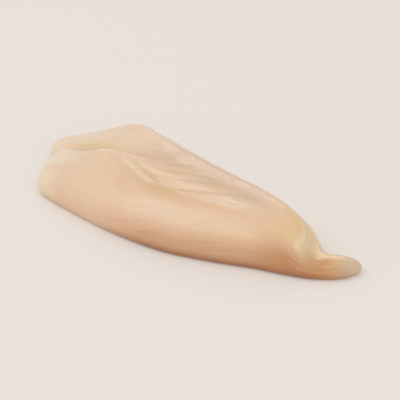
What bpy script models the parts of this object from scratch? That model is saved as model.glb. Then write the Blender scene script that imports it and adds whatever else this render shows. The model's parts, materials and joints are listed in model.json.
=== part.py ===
"""Raw chicken tenderloin: one closed solid that lies on its flat side.

The broad end is at -X and the tendon end at +X, the low side faces -Y and the crest runs along
the far side. Lengths in the tables and constants are millimetres, and become metres in the mesh.
"""

from dataclasses import dataclass

import bpy
import numpy as np

MM = 0.001
NODE_NAME = "tenderloin"


@dataclass(frozen=True)
class Section:
    """One crosswise cut.

    near and far are its two edges in plan. crest_share and lap_share say where the crest and the
    lip of the near lobe stand between them, as shares of the way from near to far.
    """

    near: tuple
    far: tuple
    height: float
    crest_share: float
    lap_share: float


# From the broad end to the tip of the tendon
SECTIONS = (
    Section(near=(-54.5, -17.8), far=(-72.4, 24.1), height=9.2, crest_share=0.66, lap_share=0.60),
    Section(near=(-47.1, -20.6), far=(-59.6, 31.0), height=12.7, crest_share=0.74, lap_share=0.48),
    Section(near=(-37.0, -23.9), far=(-43.5, 32.4), height=17.5, crest_share=0.78, lap_share=0.47),
    Section(near=(-24.1, -27.7), far=(-27.4, 26.9), height=19.0, crest_share=0.77, lap_share=0.52),
    Section(near=(-9.4, -31.0), far=(-9.4, 19.3), height=19.2, crest_share=0.75, lap_share=0.60),
    Section(near=(9.0, -32.8), far=(9.9, 12.6), height=19.1, crest_share=0.73, lap_share=0.67),
    Section(near=(27.4, -30.7), far=(29.2, 5.7), height=18.6, crest_share=0.70, lap_share=0.70),
    Section(near=(43.9, -27.4), far=(46.2, -0.9), height=16.7, crest_share=0.64, lap_share=0.70),
    Section(near=(53.6, -26.3), far=(55.9, -5.3), height=12.7, crest_share=0.56, lap_share=0.66),
    Section(near=(61.0, -25.0), far=(61.9, -9.5), height=6.6, crest_share=0.52, lap_share=0.62),
    Section(near=(67.4, -22.5), far=(68.3, -8.8), height=6.3, crest_share=0.52, lap_share=0.60),
    Section(near=(73.2, -19.3), far=(75.2, -9.4), height=5.7, crest_share=0.52, lap_share=0.60),
)

# Roundness of the two flanks
NEAR_POWER = 1.85
FAR_POWER = 2.2

# Height at which the edge bulges out, and how far the underside tucks in below it
EDGE_HEIGHT = 3.1
EDGE_SHARE_OF_HEIGHT = 0.42
UNDERCUT = 2.8

# Length over which each end rounds down, and the share of its thickness left at the end itself
BROAD_END_ROUND = 5.5
TIP_ROUND = 2.8
END_THINNESS = 0.16

# The broad end bows outwards in two lobes that meet in a notch at the lap; the tip in one
NEAR_LOBE_BOW = 5.0
FLAP_BOW = 6.6
BOW_REACH = 28.0
BOW_POWER = 0.7
TIP_BOW = 2.0
TIP_BOW_REACH = 6.0

# The near lobe laps over the flap: a step runs in from the notch and fades along the crest
STEP_DROP = 2.8
STEP_WIDTH = 1.2
STEP_RECOVERY = 9.0
LIP_RISE = 0.6
LIP_WIDTH = 1.8
STEP_FADE_START = 24.0
STEP_FADE_END = 60.0

# A long soft swelling above the low side, and the shallow trough between it and the crest
SWELLING_SHARE = 0.24
SWELLING_WIDTH = 0.12
SWELLING_RISE = 1.2
TROUGH_SHARE = 0.50
TROUGH_WIDTH = 0.10
TROUGH_DEPTH = 0.7

# Shares of the length over which the two bands rise, and over which they fade
BANDS_RISE = (0.10, 0.35)
BANDS_FADE = (0.62, 0.86)

# Shares of the width over which all relief fades out at the near and the far edge
NEAR_EDGE_BLEND = 0.12
FAR_EDGE_BLEND = 0.10

# Cuts along the piece, steps across it on each side of the lap, and how closely they crowd
# towards the ends, from 0 for even spacing to 1
STATIONS = 62
NEAR_STEPS = 20
FAR_STEPS = 15
CROWDING_ALONG = 0.55
CROWDING_ACROSS = 0.75

MEAT_COLOUR = (0.745, 0.515, 0.337, 1.0)
MEAT_ROUGHNESS = 0.38


def smooth_track(knots, values, at):
    """A cubic curve through the values at the knots, with slopes taken from their neighbours."""
    slopes = np.gradient(values, knots)
    left = np.clip(np.searchsorted(knots, at, side="right") - 1, 0, len(knots) - 2)
    span = knots[left + 1] - knots[left]
    u = (at - knots[left]) / span
    start = (2 * u**3 - 3 * u**2 + 1) * values[left] + (u**3 - 2 * u**2 + u) * span * slopes[left]
    end = (3 * u**2 - 2 * u**3) * values[left + 1] + (u**3 - u**2) * span * slopes[left + 1]
    return start + end


def smooth_step(low, high, value):
    """0 below low, 1 above high, and a smooth rise between."""
    u = np.clip((value - low) / (high - low), 0.0, 1.0)
    return u * u * (3 - 2 * u)


def bell(value, centre, width):
    """1 at the centre, falling away smoothly on both sides."""
    return np.exp(-(((value - centre) / width) ** 2))


def section_tracks():
    """The section table as arrays, with each section's distance along the piece."""
    near = np.array([section.near for section in SECTIONS])
    far = np.array([section.far for section in SECTIONS])
    middle = (near + far) / 2
    steps = np.linalg.norm(np.diff(middle, axis=0), axis=1)
    along = np.concatenate([[0.0], np.cumsum(steps)])
    height = np.array([section.height for section in SECTIONS])
    crest = np.array([section.crest_share for section in SECTIONS])
    lap = np.array([section.lap_share for section in SECTIONS])
    return along, near, far, height, crest, lap


def end_rounding(along, length):
    """How much of the full thickness is left this close to an end."""
    broad = np.clip(along / BROAD_END_ROUND, 0.0, 1.0)
    tip = np.clip((length - along) / TIP_ROUND, 0.0, 1.0)
    rounded = np.sqrt(1 - (1 - broad) ** 2) * np.sqrt(1 - (1 - tip) ** 2)
    return END_THINNESS + (1 - END_THINNESS) * rounded


def end_bow(share, lap, along, length):
    """How far the ends stand out past their chords: two lobes at the broad end, one at the tip."""
    near_lobe = NEAR_LOBE_BOW * np.sin(np.pi * np.clip(share / lap, 0, 1)) ** BOW_POWER
    flap = FLAP_BOW * np.sin(np.pi * np.clip((share - lap) / (1 - lap), 0, 1)) ** BOW_POWER
    broad_end = np.where(share < lap, near_lobe, flap) * np.clip(1 - along / BOW_REACH, 0, 1) ** 2
    to_tip = np.clip(1 - (length - along) / TIP_BOW_REACH, 0, 1)
    tip = TIP_BOW * np.sin(np.pi * share) ** BOW_POWER * to_tip**2
    return tip - broad_end


def lap_relief(along, share, lap, width):
    """The near lobe's lip, and the step down beyond it onto the flap."""
    reach = 1 - smooth_step(STEP_FADE_START, STEP_FADE_END, along)
    beyond = (share - lap) * width
    step = smooth_step(-STEP_WIDTH / 2, STEP_WIDTH / 2, beyond)
    recovery = np.exp(-np.maximum(beyond, 0.0) / STEP_RECOVERY)
    lip = LIP_RISE * bell(beyond, -LIP_WIDTH, LIP_WIDTH)
    return reach * (lip - STEP_DROP * step * recovery)


def band_relief(along, share, length):
    """The long swelling on the near side and the trough beside it."""
    reach = smooth_step(*BANDS_RISE, along / length) * (1 - smooth_step(*BANDS_FADE, along / length))
    swelling = SWELLING_RISE * bell(share, SWELLING_SHARE, SWELLING_WIDTH)
    trough = TROUGH_DEPTH * bell(share, TROUGH_SHARE, TROUGH_WIDTH)
    return reach * (swelling - trough)


def surface(along, grid_share, length, tracks):
    """Plan position, upper height and lower height at a distance along and a grid share across.

    Grid shares run from 0 to 1 on the near side of the lap, and from 1 to 2 on the flap's side.
    """
    knots, near, far, heights, crests, laps = tracks
    near_x, near_y = (smooth_track(knots, near[:, axis], along) for axis in (0, 1))
    far_x, far_y = (smooth_track(knots, far[:, axis], along) for axis in (0, 1))
    height = smooth_track(knots, heights, along)
    crest = smooth_track(knots, crests, along)
    lap = smooth_track(knots, laps, along)
    share = np.where(grid_share < 1, grid_share * lap, lap + (grid_share - 1) * (1 - lap))
    width = np.hypot(far_x - near_x, far_y - near_y)

    x = near_x + (far_x - near_x) * share + end_bow(share, lap, along, length)
    y = near_y + (far_y - near_y) * share

    near_side = share < crest
    from_crest = np.where(near_side, (crest - share) / crest, (share - crest) / (1 - crest))
    power = np.where(near_side, NEAR_POWER, FAR_POWER)
    arch = (1 - np.clip(from_crest, 0, 1) ** power) ** (1 / power)

    edge = np.minimum(EDGE_HEIGHT, EDGE_SHARE_OF_HEIGHT * height)
    rounding = end_rounding(along, length)
    relief = lap_relief(along, share, lap, width) + band_relief(along, share, length)
    inside = smooth_step(0, NEAR_EDGE_BLEND, share) * smooth_step(0, FAR_EDGE_BLEND, 1 - share)
    top = edge + ((height - edge) * arch + relief * inside) * rounding

    to_edge = np.minimum(share, 1 - share) * width
    tuck = 1 - np.clip(to_edge / UNDERCUT, 0, 1)
    bottom = edge * (1 - np.sqrt(1 - tuck**2) * rounding)
    return x, y, top, bottom


def spread_to_ends(count, crowding):
    """Shares from 0 to 1 that stand closer together towards both ends."""
    even = np.linspace(0, 1, count)
    crowded = 0.5 - 0.5 * np.cos(np.pi * even)
    return even + crowding * (crowded - even)


def ring_points():
    """Every cut as a closed ring: over the top from near to far, and back underneath."""
    tracks = section_tracks()
    length = tracks[0][-1]
    near_shares = spread_to_ends(NEAR_STEPS + 1, CROWDING_ACROSS)
    far_shares = 1 + spread_to_ends(FAR_STEPS + 1, CROWDING_ACROSS)[1:]
    shares = np.concatenate([near_shares, far_shares])
    rings = []
    for along in length * spread_to_ends(STATIONS, CROWDING_ALONG):
        x, y, top, bottom = surface(np.full_like(shares, along), shares, length, tracks)
        over = np.column_stack([x, y, top])
        under = np.column_stack([x, y, bottom])[-2:0:-1]
        rings.append(np.concatenate([over, under]))
    return np.array(rings)


def end_strip(first, ring_size):
    """Faces that close an end ring, each between two upper points and the two below them."""
    strip = []
    for point in range(ring_size // 2):
        upper = [first + point, first + point + 1]
        lower = [first + (ring_size - point - 1) % ring_size, first + (ring_size - point) % ring_size]
        strip.append(tuple(dict.fromkeys(upper + lower)))
    return strip


def ring_faces(ring_count, ring_size):
    """Quads between neighbouring rings, and a strip that closes each end."""
    faces = []
    for ring in range(ring_count - 1):
        start = ring * ring_size
        for point in range(ring_size):
            a = start + point
            b = start + (point + 1) % ring_size
            faces.append((a, a + ring_size, b + ring_size, b))
    broad_end = end_strip(0, ring_size)
    tip = [face[::-1] for face in end_strip((ring_count - 1) * ring_size, ring_size)]
    return faces + broad_end + tip


def meat_material():
    material = bpy.data.materials.new("raw_meat")
    material.use_nodes = True
    shader = material.node_tree.nodes["Principled BSDF"]
    shader.inputs["Base Color"].default_value = MEAT_COLOUR
    shader.inputs["Roughness"].default_value = MEAT_ROUGHNESS
    shader.inputs["Metallic"].default_value = 0.0
    return material


def make_tenderloin():
    """The whole piece, centred on its own footprint, standing on Z = 0."""
    rings = ring_points()
    ring_count, ring_size, _ = rings.shape
    points = rings.reshape(-1, 3)
    middle = (points.min(axis=0) + points.max(axis=0)) / 2
    points -= [middle[0], middle[1], 0.0]
    mesh = bpy.data.meshes.new(NODE_NAME)
    mesh.from_pydata((points * MM).tolist(), [], ring_faces(ring_count, ring_size))
    mesh.validate()
    mesh.shade_smooth()
    mesh.materials.append(meat_material())
    piece = bpy.data.objects.new(NODE_NAME, mesh)
    bpy.context.scene.collection.objects.link(piece)
    return piece


def main():
    for leftover in list(bpy.data.objects):
        bpy.data.objects.remove(leftover, do_unlink=True)
    make_tenderloin()


main()
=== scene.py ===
"""Raw chicken tenderloin, laid out as a Blender add-on and run as a script.

One operator adds each piece: the meat, the tendon skin over its narrow end, the fine membrane
threads, and the floor with its light and camera. The panel lists them. Lengths in the tables are
millimetres, and become metres in the meshes.
"""

import json
from dataclasses import dataclass
from math import pi, radians, sin

import bpy
import numpy as np
from bpy.props import FloatProperty, FloatVectorProperty, IntProperty, PointerProperty
from mathutils import Matrix, Vector
from mathutils.bvhtree import BVHTree

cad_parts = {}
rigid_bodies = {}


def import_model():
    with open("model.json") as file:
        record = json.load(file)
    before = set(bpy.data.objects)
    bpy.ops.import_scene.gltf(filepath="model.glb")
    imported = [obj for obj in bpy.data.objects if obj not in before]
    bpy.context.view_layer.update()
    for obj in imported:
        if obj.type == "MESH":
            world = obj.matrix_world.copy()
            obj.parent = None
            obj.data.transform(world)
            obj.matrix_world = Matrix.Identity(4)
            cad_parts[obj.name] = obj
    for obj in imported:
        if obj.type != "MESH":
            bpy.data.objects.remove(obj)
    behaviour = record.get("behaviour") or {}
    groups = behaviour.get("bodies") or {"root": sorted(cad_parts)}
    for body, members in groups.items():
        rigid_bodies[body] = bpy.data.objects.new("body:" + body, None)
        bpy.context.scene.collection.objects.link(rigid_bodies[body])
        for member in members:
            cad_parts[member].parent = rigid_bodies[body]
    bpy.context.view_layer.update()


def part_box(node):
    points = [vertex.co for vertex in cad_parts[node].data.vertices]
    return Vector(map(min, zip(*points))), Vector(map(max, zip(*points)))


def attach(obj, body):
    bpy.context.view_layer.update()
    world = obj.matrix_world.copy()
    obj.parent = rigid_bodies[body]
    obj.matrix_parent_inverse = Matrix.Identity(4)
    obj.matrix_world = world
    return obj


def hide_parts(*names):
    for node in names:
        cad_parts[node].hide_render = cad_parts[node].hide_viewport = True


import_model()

bl_info = {
    "name": "Raw Chicken Tenderloin",
    "version": (1, 0, 0),
    "blender": (4, 5, 0),
    "location": "3D View > Sidebar > Tenderloin",
    "description": "Adds a raw chicken tenderloin with its tendon skin and fine membranes",
    "category": "Add Mesh",
}

MM = 0.001
CAD_NODE = "tenderloin"
LOW, HIGH = (np.array(corner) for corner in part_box(CAD_NODE))


def linear(red, green, blue):
    """A colour given as 0 to 255 display values, in the linear values that shaders take."""
    shares = np.array([red, green, blue]) / 255.0
    values = np.where(shares <= 0.04045, shares / 12.92, ((shares + 0.055) / 1.055) ** 2.4)
    return tuple(float(value) for value in values)


# The form of the meat

# Crosswise cuts from the broad end to the tip. Each gives x and y of its near edge, x and y of its
# far edge, its height, and the shares of the way across at which the crest and the lip stand
SECTIONS = np.array((
    (-54.5, -17.8, -72.4, 22.4, 8.7, 0.66, 0.60),
    (-47.1, -20.6, -59.0, 28.6, 12.1, 0.74, 0.48),
    (-37.0, -23.9, -43.5, 32.6, 17.5, 0.78, 0.455),
    (-24.1, -27.7, -27.4, 26.9, 19.0, 0.77, 0.52),
    (-9.4, -31.0, -9.4, 19.3, 19.2, 0.75, 0.60),
    (9.0, -32.8, 9.9, 12.6, 19.1, 0.73, 0.67),
    (27.4, -30.7, 29.2, 5.7, 18.6, 0.70, 0.70),
    (43.9, -27.4, 46.2, -0.9, 16.7, 0.64, 0.70),
    (53.6, -26.3, 55.9, -5.3, 12.7, 0.56, 0.66),
    (61.0, -25.0, 61.9, -9.5, 6.6, 0.52, 0.62),
    (67.4, -22.5, 68.3, -8.8, 6.3, 0.52, 0.60),
    (72.6, -19.0, 73.6, -9.4, 5.7, 0.52, 0.60),
))
NEAR_X, NEAR_Y, FAR_X, FAR_Y, _, CRESTS, LAPS = SECTIONS.T

# Roundness of the two flanks
NEAR_POWER = 2.1
FAR_POWER = 2.2

# Height at which the edge bulges out, and how far the underside tucks in below it
EDGE_HEIGHT = 1.9
EDGE_SHARE_OF_HEIGHT = 0.42
BROAD_UNDERCUT = 1.0
NARROW_UNDERCUT = 1.2
UNDERCUT_TURN = (15.0, 60.0)
UNDER_POWER = 1.4

# Length over which each end rounds down, and the share of its thickness left at the end itself
BROAD_END_ROUND = 5.5
TIP_ROUND = 3.6
END_THINNESS = 0.16

# The broad end bows outwards in two lobes that meet in a notch at the lap. The tip bows in one,
# forwards and to the far side
NEAR_LOBE_BOW = 5.0
FLAP_BOW = 6.6
BOW_REACH = 28.0
BOW_POWER = 0.7
TIP_BOW = (2.7, 2.0)
TIP_BOW_REACH = 6.0

# The near lobe laps over the flap: a step runs in from the notch and fades along the crest
STEP_DROP = 2.8
STEP_WIDTH = 1.2
STEP_RECOVERY = 9.0
LIP_RISE = 0.45
LIP_WIDTH = 2.2
STEP_FADE = (24.0, 60.0)

# The lip leans out over the crease below it, and the crease cuts in under the lip
LIP_LEAN = 0.75
CREASE_CUT = 0.8
CREASE_DEPTH = 0.55
FOLD_WIDTH = 0.9

# A long soft swelling above the low side, and the shallow trough between it and the crest, each as
# (centre, width) across, and the shares of the length over which both rise and fade
SWELLING = (0.24, 0.12)
SWELLING_RISE = 1.2
TROUGH = (0.50, 0.10)
TROUGH_DEPTH = 0.7
BANDS_SPAN = ((0.10, 0.35), (0.62, 0.86))

# Shares of the width over which all relief fades out at the near and the far edge
NEAR_EDGE_BLEND = 0.12
FAR_EDGE_BLEND = 0.10

# Shallow furrows, each from one (distance along, share across) to another, with depth and width.
# The depth follows a power of half a sine wave
WRINKLES = (
    ((22.0, 0.385), (46.0, 0.310), 0.32, 1.7),
    ((36.0, 0.440), (60.0, 0.350), 0.30, 1.6),
    ((14.0, 0.330), (36.0, 0.250), 0.25, 1.7),
    ((50.0, 0.530), (68.0, 0.645), 0.50, 0.9),
    ((56.0, 0.480), (77.0, 0.610), 0.50, 0.9),
    ((70.0, 0.330), (92.0, 0.520), 0.35, 1.1),
    ((10.0, 0.790), (30.0, 0.700), 0.40, 1.4),
    ((60.0, 0.900), (92.0, 0.860), 0.35, 1.3),
)
WRINKLE_FADE_POWER = 0.8

# The line where the tendon skin starts comes over the narrow end from the far edge, bends forward
# on its way to the near edge, and then turns out along the low side of the tail
SKIN_START = 115.0
SKIN_BEND = 7.6
SKIN_BEND_SHARES = (0.10, 0.50)
SKIN_NEAR_SHARE = 0.20
SKIN_NEAR_TURN = (126.0, 136.0)

# The fold at that line and the hollow after it, each as (centre, width) from it, and the shares of
# the width over which both rise and fade
FOLD = (0.6, 1.9)
FOLD_RISE = 0.50
FOLD_UNEVENNESS = 0.3
FOLD_WAVES = 23.0
HOLLOW = (5.6, 2.8)
HOLLOW_DEPTH = 0.45
FOLD_SPAN = ((0.14, 0.30), (0.62, 0.90))

# The outer rim of the tendon skin, which drops from the crest to the far side of the tail
RIM_SHARE = 0.84
RIM_DROP = 0.28
RIM_DROP_PLACE = (123.5, 130.5)
RIM_START = (112.0, 119.0)
RIM_END = (128.0, 134.0)
RIM_RISE = 0.30
RIM_WIDTH = 0.09

# How the fibres run: nearly along the piece at the broad end, up to the crest further on, and
# along it again at the narrow end
FIBRE_SLOPE = 0.34
FIBRE_TURN = (30.0, 66.0)
FIBRE_RETURN = (88.0, 118.0)
MEAN_WIDTH = 56.0

# Cuts along the meat, steps across its top on both sides of the lap, and how closely they crowd
# towards the ends
STATIONS = 288
NEAR_STEPS = 141
FAR_STEPS = 99
CROWDING_ALONG = 0.35
CROWDING_ACROSS = 0.72
TOP_STEPS_PER_UNDER_STEP = 3


def smooth_track(values, at):
    """A cubic curve through a value at each section, with slopes taken from their neighbours."""
    slopes = np.gradient(values, KNOTS)
    left = np.clip(np.searchsorted(KNOTS, at, side="right") - 1, 0, len(KNOTS) - 2)
    run = KNOTS[left + 1] - KNOTS[left]
    u = (at - KNOTS[left]) / run
    start = (2 * u**3 - 3 * u**2 + 1) * values[left] + (u**3 - 2 * u**2 + u) * run * slopes[left]
    end = (3 * u**2 - 2 * u**3) * values[left + 1] + (u**3 - u**2) * run * slopes[left + 1]
    return start + end


def smooth_step(low, high, value):
    """0 below low, 1 above high, and a smooth rise between."""
    u = np.clip((value - low) / (high - low), 0.0, 1.0)
    return u * u * (3 - 2 * u)


def bell(value, centre, width):
    """1 at the centre, falling away smoothly on both sides."""
    return np.exp(-(((value - centre) / width) ** 2))


def span(value, rise=None, fall=None):
    """A smooth rise from 0 to 1 over one range, and a smooth fall back over another, if given."""
    risen = smooth_step(*rise, value) if rise else 1.0
    return risen * (1 - smooth_step(*fall, value)) if fall else risen


def within(part, whole, edge):
    """0 at both ends of a stretch, and 1 between them from an edge's width inwards."""
    return smooth_step(0, edge, part) * smooth_step(0, edge, whole - part)


def between(first, last, part):
    """The first of two numbers at part 0, the last at part 1, and evenly from one to the other."""
    return first + (last - first) * part


def section_places():
    """How far along the piece each section stands, measured through the middles."""
    middle = (SECTIONS[:, 0:2] + SECTIONS[:, 2:4]) / 2
    steps = np.linalg.norm(np.diff(middle, axis=0), axis=1)
    return np.concatenate([[0.0], np.cumsum(steps)])


KNOTS = section_places()
LENGTH = KNOTS[-1]


def inset(along, share):
    """How far in from the nearest edge a place lies."""
    width = smooth_track(np.hypot(FAR_X - NEAR_X, FAR_Y - NEAR_Y), along)
    return np.minimum(np.minimum(share, 1 - share) * width, np.minimum(along, LENGTH - along))


def end_rounding(along):
    """How much of the full thickness is left this close to an end."""
    broad = np.clip(along / BROAD_END_ROUND, 0.0, 1.0)
    tip = np.clip((LENGTH - along) / TIP_ROUND, 0.0, 1.0)
    rounded = np.sqrt(1 - (1 - broad) ** 2) * np.sqrt(1 - (1 - tip) ** 2)
    return END_THINNESS + (1 - END_THINNESS) * rounded


def broad_bow(share, lap, along):
    """How far the broad end stands out past its chord, in its two lobes."""
    near_lobe = NEAR_LOBE_BOW * np.sin(pi * np.clip(share / lap, 0, 1)) ** BOW_POWER
    flap = FLAP_BOW * np.sin(pi * np.clip((share - lap) / (1 - lap), 0, 1)) ** BOW_POWER
    return np.where(share < lap, near_lobe, flap) * np.clip(1 - along / BOW_REACH, 0, 1) ** 2


def tip_bow(share, along):
    """How much of the tip's bow a place has: all of it in the middle of the very end."""
    to_tip = np.clip(1 - (LENGTH - along) / TIP_BOW_REACH, 0, 1)
    return np.sin(pi * np.clip(share, 0, 1)) ** BOW_POWER * to_tip**2


def crest_at(along):
    return smooth_track(CRESTS, along)


def lap_at(along):
    return smooth_track(LAPS, along)


def lap_reach(along):
    """How much of the lap is left this far along: all at the broad end, none past its fade."""
    return 1 - smooth_step(*STEP_FADE, along)


def lap_relief(along, share, lap, width):
    """The near lobe's lip, the step down beyond it onto the flap, and the crease at its foot."""
    beyond = (share - lap) * width
    step = smooth_step(-STEP_WIDTH / 2, STEP_WIDTH / 2, beyond)
    recovery = np.exp(-np.maximum(beyond, 0.0) / STEP_RECOVERY)
    lip = LIP_RISE * bell(beyond, -LIP_WIDTH, LIP_WIDTH)
    crease = CREASE_DEPTH * bell(beyond, FOLD_WIDTH, FOLD_WIDTH)
    return lap_reach(along) * (lip - STEP_DROP * step * recovery - crease)


def fold_shift(along, share, lap, width):
    """How far the lip leans out, and the crease below it cuts back in, across the piece."""
    beyond = (share - lap) * width
    lip = LIP_LEAN * bell(beyond, -FOLD_WIDTH / 2, FOLD_WIDTH)
    crease = CREASE_CUT * bell(beyond, FOLD_WIDTH / 2, FOLD_WIDTH)
    return lap_reach(along) * (lip - crease)


def band_relief(along, share):
    """The long swelling on the near side and the trough beside it."""
    bands = SWELLING_RISE * bell(share, *SWELLING) - TROUGH_DEPTH * bell(share, *TROUGH)
    return span(along / LENGTH, *BANDS_SPAN) * bands


def wrinkle_relief(along, share, width):
    """The furrows, each deepest in its middle and fading to its two ends."""
    relief = np.zeros_like(along)
    for start, end, depth, reach in WRINKLES:
        part = np.clip((along - start[0]) / (end[0] - start[0]), 0.0, 1.0)
        fade = np.sin(pi * part) ** WRINKLE_FADE_POWER
        across = (share - between(start[1], end[1], part)) * width
        relief -= depth * fade * bell(across, 0.0, reach)
    return relief


def skin_line(share):
    """Where the tendon skin starts, as a distance along, at a share across."""
    return SKIN_START + SKIN_BEND * smooth_step(*SKIN_BEND_SHARES, 1 - share)


def skin_near_share(along):
    """The share across at which the tendon skin ends towards the near side."""
    return SKIN_NEAR_SHARE * (1 - smooth_step(*SKIN_NEAR_TURN, along))


def outer_rim(along, share):
    """1 on the outer rim of the tendon skin, falling away on both sides."""
    line = RIM_SHARE - RIM_DROP * smooth_step(*RIM_DROP_PLACE, along)
    return bell(share, line, RIM_WIDTH) * smooth_step(*RIM_START, along)


def skin_fold(along, share):
    """The soft fold over which the tendon skin starts, the hollow after it, and its outer rim."""
    from_start = along - skin_line(share)
    uneven = 1 + FOLD_UNEVENNESS * np.sin(share * FOLD_WAVES)
    fold = FOLD_RISE * bell(from_start, *FOLD) * uneven
    hollow = HOLLOW_DEPTH * bell(from_start, *HOLLOW)
    rim = RIM_RISE * outer_rim(along, share) * (1 - smooth_step(*RIM_END, along))
    return (fold - hollow) * span(share, *FOLD_SPAN) + rim


def surface(along, share, folded=True):
    """Plan position, upper height and lower height at a distance along and a share across."""
    near_x, near_y, far_x, far_y, height, crest, lap = (smooth_track(row, along) for row in SECTIONS.T)
    width = np.hypot(far_x - near_x, far_y - near_y)

    near_side = share < crest
    from_crest = np.where(near_side, (crest - share) / crest, (share - crest) / (1 - crest))
    power = np.where(near_side, NEAR_POWER, FAR_POWER)
    arch = (1 - np.clip(from_crest, 0, 1) ** power) ** (1 / power)

    edge = np.minimum(EDGE_HEIGHT, EDGE_SHARE_OF_HEIGHT * height)
    rounding = end_rounding(along)
    relief = lap_relief(along, share, lap, width) + band_relief(along, share)
    relief = relief + wrinkle_relief(along, share, width) + skin_fold(along, share)
    inside = smooth_step(0, NEAR_EDGE_BLEND, share) * smooth_step(0, FAR_EDGE_BLEND, 1 - share)
    top = edge + ((height - edge) * arch + relief * inside) * rounding

    to_edge = np.minimum(share, 1 - share) * width
    undercut = between(BROAD_UNDERCUT, NARROW_UNDERCUT, smooth_step(*UNDERCUT_TURN, along))
    tuck = 1 - np.clip(to_edge / undercut, 0, 1)
    bottom = edge * (1 - (1 - tuck**UNDER_POWER) ** (1 / UNDER_POWER) * rounding)

    shift = fold_shift(along, share, lap, width) * inside * rounding * folded
    part = share + shift / width
    tip = tip_bow(share, along)
    x = between(near_x, far_x, part) + TIP_BOW[0] * tip - broad_bow(share, lap, along)
    y = between(near_y, far_y, part) + TIP_BOW[1] * tip
    return x, y, top, bottom


def spread_to_ends(count, crowding):
    """Shares from 0 to 1 that stand closer together towards both ends."""
    even = np.linspace(0, 1, count)
    crowded = 0.5 - 0.5 * np.cos(pi * even)
    return even + crowding * (crowded - even)


def lap_grid():
    """Distances along and shares across for a grid that has one line of points along the lap."""
    along = LENGTH * spread_to_ends(STATIONS, CROWDING_ALONG)
    near_part = spread_to_ends(NEAR_STEPS + 1, CROWDING_ACROSS)
    far_part = spread_to_ends(FAR_STEPS + 1, CROWDING_ACROSS)[1:]
    lap = lap_at(along)[:, None]
    share = np.concatenate([near_part * lap, lap + (1 - lap) * far_part], axis=1)
    return np.broadcast_to(along[:, None], share.shape).copy(), share


def fit_to_cad():
    """Scale and offset, for each axis, that lay the fine form exactly in the CAD solid's box."""
    x, y, top, _ = surface(*lap_grid())
    low = np.array([x.min(), y.min(), 0.0]) * MM
    high = np.array([x.max(), y.max(), top.max()]) * MM
    scale = (HIGH - LOW) / (high - low)
    return scale, LOW - low * scale


FIT_SCALE, FIT_OFFSET = fit_to_cad()


def to_frame(x, y, z):
    """Millimetres of the section table to metres of the frame."""
    return np.stack([x, y, z], axis=-1) * MM * FIT_SCALE + FIT_OFFSET


# Meshes

def add_object(name, data):
    item = bpy.data.objects.new(name, data)
    bpy.context.scene.collection.objects.link(item)
    return item


def add_mesh(name, points, faces, material):
    """A smooth-shaded mesh object at the origin, its faces pointing outwards."""
    mesh = bpy.data.meshes.new(name)
    mesh.from_pydata(points.tolist(), [], faces)
    mesh.validate()
    mesh.shade_smooth()
    mesh.materials.append(material)
    return add_object(name, mesh)


def add_point_values(piece, values):
    """Numbers for each point of a mesh, which nodes read by their names."""
    for name, numbers in values.items():
        attribute = piece.data.attributes.new(name, "FLOAT", "POINT")
        attribute.data.foreach_set("value", np.asarray(numbers, np.float32).ravel())


def finish_piece(piece, replaces=False):
    """Says what a finished piece rides on, and hides the CAD part that it stands for, if it replaces
    one.
    """
    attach(piece, "root")
    if replaces:
        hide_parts(CAD_NODE)


def bake_nodes(piece, tree, settings):
    """Puts a piece through a geometry node tree, and gives back the result as a plain mesh."""
    modifier = piece.modifiers.new(tree.name, "NODES")
    modifier.node_group = tree
    for item in tree.interface.items_tree:
        if item.name in settings:
            modifier[item.identifier] = settings[item.name]
    bpy.context.view_layer.update()
    evaluated = piece.evaluated_get(bpy.context.evaluated_depsgraph_get())
    mesh = bpy.data.meshes.new_from_object(evaluated)
    name = piece.name
    bpy.data.batch_remove((piece, piece.data))
    mesh.name = name
    return add_object(name, mesh)


class Skin:
    """The finished surface of the meat, to lay other pieces on."""

    # How far out the search for it starts, and how far apart along and across the neighbours of a
    # place lie that give the direction out of it
    CLEAR = 6.0 * MM
    STEP_ALONG = 0.2
    STEP_ACROSS = 0.005

    def __init__(self):
        meat = bpy.data.objects.get("tenderloin_meat")
        if meat is None:
            raise RuntimeError("Add the meat first: the other pieces lie on it")
        points = [vertex.co.copy() for vertex in meat.data.vertices]
        faces = [tuple(face.vertices) for face in meat.data.polygons]
        self.tree = BVHTree.FromPolygons(points, faces)

    def point(self, along, share):
        """The surface point above a place given along and across, and the direction out of it."""
        at = along + self.STEP_ALONG * np.array([0, 1, -1, 0, 0])
        across = share + self.STEP_ACROSS * np.array([0, 0, 0, 1, -1])
        x, y, top, _ = surface(at, across)
        centre, ahead, behind, left, right = to_frame(x, y, top)
        outward = Vector(np.cross(ahead - behind, left - right)).normalized()
        start = Vector(centre) + outward * self.CLEAR
        hit, _, _, _ = self.tree.ray_cast(start, -outward, 2 * self.CLEAR)
        if hit is None:
            hit, _, _, _ = self.tree.find_nearest(Vector(centre))
        return np.array(hit), np.array(outward)


# Node trees

NODES_IN_A_ROW = 12
NODE_SPACING = (190, 260)

# The middle range of a noise, which holds nearly all of it
NOISE_RANGE = (0.3, 0.7)

# Places of the colour sockets in a mix node, which has others of the same names
MIX_FACTOR, MIX_FIRST, MIX_SECOND, MIX_RESULT = 0, 6, 7, 2


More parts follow.
